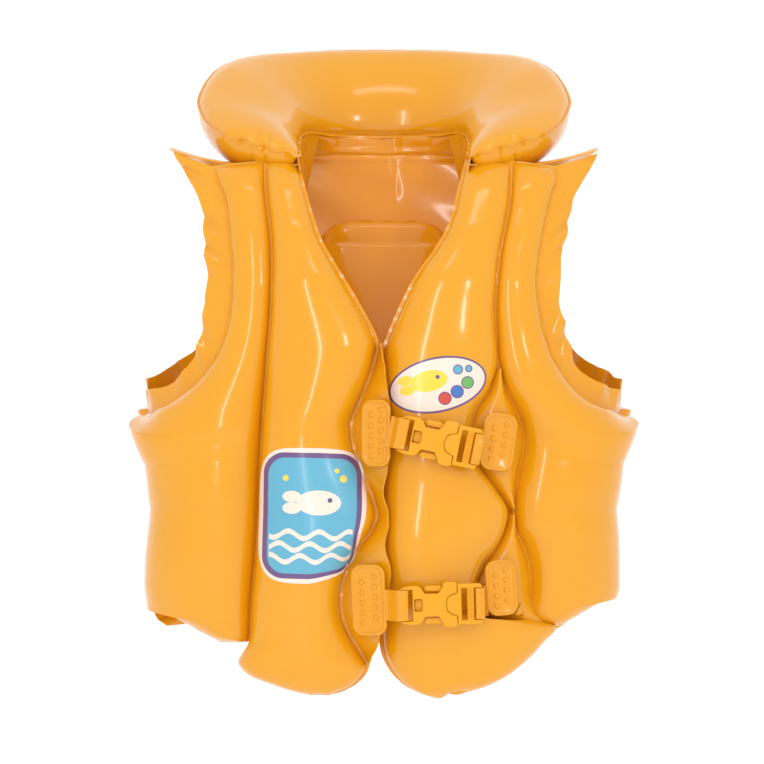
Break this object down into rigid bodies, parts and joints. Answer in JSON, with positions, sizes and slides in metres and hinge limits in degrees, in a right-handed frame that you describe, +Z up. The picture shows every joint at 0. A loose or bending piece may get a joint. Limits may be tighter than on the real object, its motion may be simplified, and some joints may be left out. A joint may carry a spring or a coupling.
{
  "type": "inflatable life jacket",
  "caption": "Child's inflatable swim vest with tubular air chambers, a horseshoe head collar and side-release buckles across the front",
  "frame": {"origin": "between the side seams, level with the bottom of the front hem, where the wearer's body runs through the vest", "axes": "+Z up, from the hem to the collar; the front faces -Y and the back faces +Y; +X is the viewer's right seen from the front"},
  "size_m": [0.3855, 0.2572, 0.51],
  "materials": {
    "vinyl": "glossy orange-yellow PVC film, puckered along its welds",
    "tab": "welded PVC pad with a raised rim and raised dots",
    "strap": "folded PVC strip",
    "buckle": "moulded nylon, satin",
    "clear_vinyl": "soft translucent PVC moulding"
  },
  "bodies": {
    "vest_back": {"back_center_chamber": "vinyl", "back_left_chamber": "vinyl", "back_right_chamber": "vinyl", "back_yoke": "vinyl", "left_back_armhole_flange": "vinyl", "right_back_armhole_flange": "vinyl", "left_shoulder_panel": "vinyl", "right_shoulder_panel": "vinyl", "left_neck_strip": "vinyl", "right_neck_strip": "vinyl", "back_valve_base": "clear_vinyl", "collar_pillow": "vinyl", "collar_valve_base": "clear_vinyl"},
    "left_front_half": {"left_front_chamber": "vinyl", "left_side_chamber": "vinyl", "left_placket": "vinyl", "left_front_armhole_flange": "vinyl", "left_upper_tab": "tab", "left_lower_tab": "tab", "left_upper_strap": "strap", "left_lower_strap": "strap", "upper_socket": "buckle", "lower_socket": "buckle", "left_front_valve_base": "clear_vinyl"},
    "right_front_half": {"right_front_chamber": "vinyl", "right_side_chamber": "vinyl", "right_upper_web": "vinyl", "right_lower_web": "vinyl", "right_front_armhole_flange": "vinyl", "right_upper_tab": "tab", "right_lower_tab": "tab", "right_upper_strap": "strap", "right_lower_strap": "strap", "upper_plug": "buckle", "lower_plug": "buckle", "right_front_valve_base": "clear_vinyl"},
    "upper_top_prong": {"upper_top_prong": "buckle"},
    "upper_bottom_prong": {"upper_bottom_prong": "buckle"},
    "lower_top_prong": {"lower_top_prong": "buckle"},
    "lower_bottom_prong": {"lower_bottom_prong": "buckle"},
    "left_front_valve_mouth": {"left_front_valve_stem": "clear_vinyl", "left_front_valve_flap": "clear_vinyl"},
    "left_front_valve_stopper": {"left_front_valve_cap": "clear_vinyl"},
    "right_front_valve_mouth": {"right_front_valve_stem": "clear_vinyl", "right_front_valve_flap": "clear_vinyl"},
    "right_front_valve_stopper": {"right_front_valve_cap": "clear_vinyl"},
    "back_valve_mouth": {"back_valve_stem": "clear_vinyl", "back_valve_flap": "clear_vinyl"},
    "back_valve_stopper": {"back_valve_cap": "clear_vinyl"},
    "collar_valve_mouth": {"collar_valve_stem": "clear_vinyl", "collar_valve_flap": "clear_vinyl"},
    "collar_valve_stopper": {"collar_valve_cap": "clear_vinyl"}
  },
  "joints": [
    {"name": "left_front_open", "type": "hinge", "parent": "vest_back", "child": "left_front_half", "pos_m": [-0.187, 0, 0.12], "axis": [0, 0, -1], "range_deg": [0, 30], "deforming": ["upper_top_prong", "upper_bottom_prong", "lower_top_prong", "lower_bottom_prong"]},
    {"name": "right_front_open", "type": "hinge", "parent": "vest_back", "child": "right_front_half", "pos_m": [0.187, 0, 0.12], "axis": [0, 0, 1], "range_deg": [0, 30]},
    {"name": "upper_top_prong_squeeze", "type": "hinge", "parent": "right_front_half", "child": "upper_top_prong", "pos_m": [0.05445, -0.11053, 0.20118], "axis": [0.0698, -0.9976, 0], "range_deg": [0, 7], "stiffness_Nm_per_rad": 0.4},
    {"name": "upper_bottom_prong_squeeze", "type": "hinge", "parent": "right_front_half", "child": "upper_bottom_prong", "pos_m": [0.0501, -0.11083, 0.17992], "axis": [-0.0698, 0.9976, 0], "range_deg": [0, 7], "stiffness_Nm_per_rad": 0.4},
    {"name": "lower_top_prong_squeeze", "type": "hinge", "parent": "right_front_half", "child": "lower_top_prong", "pos_m": [0.05365, -0.11068, 0.08334], "axis": [0.0698, -0.9976, 0], "range_deg": [0, 7], "stiffness_Nm_per_rad": 0.4},
    {"name": "lower_bottom_prong_squeeze", "type": "hinge", "parent": "right_front_half", "child": "lower_bottom_prong", "pos_m": [0.05418, -0.11064, 0.06165], "axis": [-0.0698, 0.9976, 0], "range_deg": [0, 7], "stiffness_Nm_per_rad": 0.4},
    {"name": "left_front_valve_pull", "type": "slide", "parent": "left_front_half", "child": "left_front_valve_mouth", "axis": [0.1483, 0.9889, 0], "range_m": [0, 0.006]},
    {"name": "left_front_valve_uncap", "type": "hinge", "parent": "left_front_valve_mouth", "child": "left_front_valve_stopper", "pos_m": [-0.0627, -0.0531, 0.205], "axis": [0, 0, 1], "range_deg": [0, 140]},
    {"name": "right_front_valve_pull", "type": "slide", "parent": "right_front_half", "child": "right_front_valve_mouth", "axis": [0.03, 0.9996, 0], "range_m": [0, 0.006]},
    {"name": "right_front_valve_uncap", "type": "hinge", "parent": "right_front_valve_mouth", "child": "right_front_valve_stopper", "pos_m": [0.02673, -0.05715, 0.205], "axis": [0, 0, 1], "range_deg": [0, 140]},
    {"name": "back_valve_pull", "type": "slide", "parent": "vest_back", "child": "back_valve_mouth", "axis": [0, 1, 0], "range_m": [0, 0.006]},
    {"name": "back_valve_uncap", "type": "hinge", "parent": "back_valve_mouth", "child": "back_valve_stopper", "pos_m": [-0.0084, 0.1011, 0.3], "axis": [0, 0, 1], "range_deg": [0, 140]},
    {"name": "collar_valve_pull", "type": "slide", "parent": "vest_back", "child": "collar_valve_mouth", "axis": [0, 0.9062, -0.4229], "range_m": [0, 0.006]},
    {"name": "collar_valve_uncap", "type": "hinge", "parent": "collar_valve_mouth", "child": "collar_valve_stopper", "pos_m": [-0.0084, 0.13542, 0.45597], "axis": [0, 0.4229, 0.9062], "range_deg": [0, 140]}
  ],
  "couplings": [
    {"joint": "right_front_open", "follows": "left_front_open", "ratio": 1}
  ]
}
